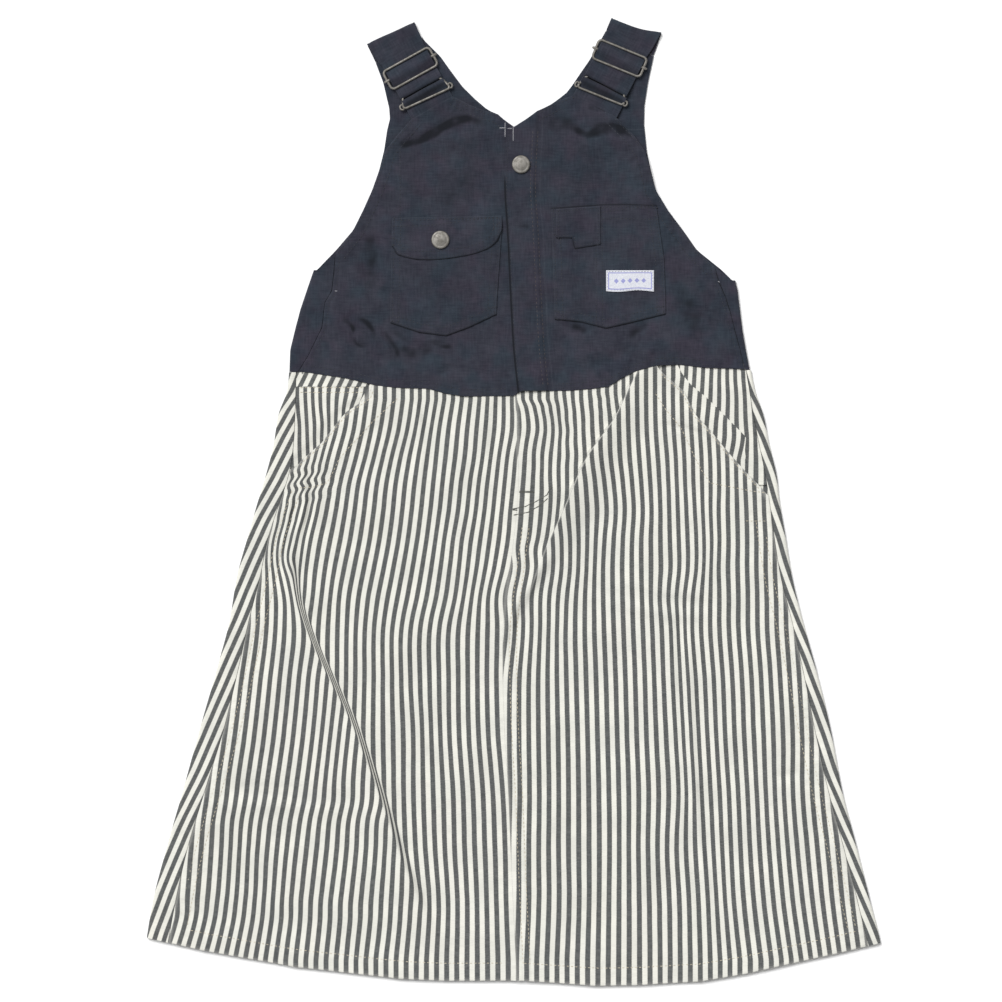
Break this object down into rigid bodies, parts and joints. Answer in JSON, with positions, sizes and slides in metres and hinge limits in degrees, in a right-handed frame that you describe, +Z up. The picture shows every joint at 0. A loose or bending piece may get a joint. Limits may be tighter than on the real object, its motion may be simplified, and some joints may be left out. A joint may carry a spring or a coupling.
{
  "type": "pinafore dress laid flat",
  "caption": "Child's pinafore dress laid flat: denim bib with adjustable straps, snap front and chest pockets, A-line hickory stripe skirt.",
  "frame": {"origin": "on the surface the garment lies on, under the middle of its outline", "axes": "+Y from hem to shoulders, +Z up out of the front, +X towards the wearer's left side"},
  "size_m": [0.4993, 0.6573, 0.0098],
  "materials": {
    "denim": "matt charcoal-navy twill, lightly slubbed",
    "hickory_stripe": "matt ivory twill with charcoal stripes about 3 mm wide on a 6.6 mm pitch",
    "aged_pewter": "aged pewter plating, soft sheen",
    "woven_label": "smooth woven ribbon"
  },
  "bodies": {
    "root": {"skirt_back": "hickory_stripe", "skirt_front_right": "hickory_stripe", "skirt_front_left": "hickory_stripe", "hip_facing_right": "hickory_stripe", "hip_facing_left": "hickory_stripe", "bib_back": "denim", "bib_front_right": "denim", "bib_front_left": "denim", "front_placket": "denim", "chest_pocket_right": "denim", "pocket_flap": "denim", "chest_pocket_left": "denim", "pen_band": "denim", "label": "woven_label", "neck_snap": "aged_pewter", "flap_snap": "aged_pewter", "strap_right": "denim", "strap_left": "denim", "slider_right": "aged_pewter", "slider_left": "aged_pewter", "loop_right": "aged_pewter", "loop_left": "aged_pewter", "tab_right": "denim", "tab_left": "denim"}
  },
  "joints": []
}
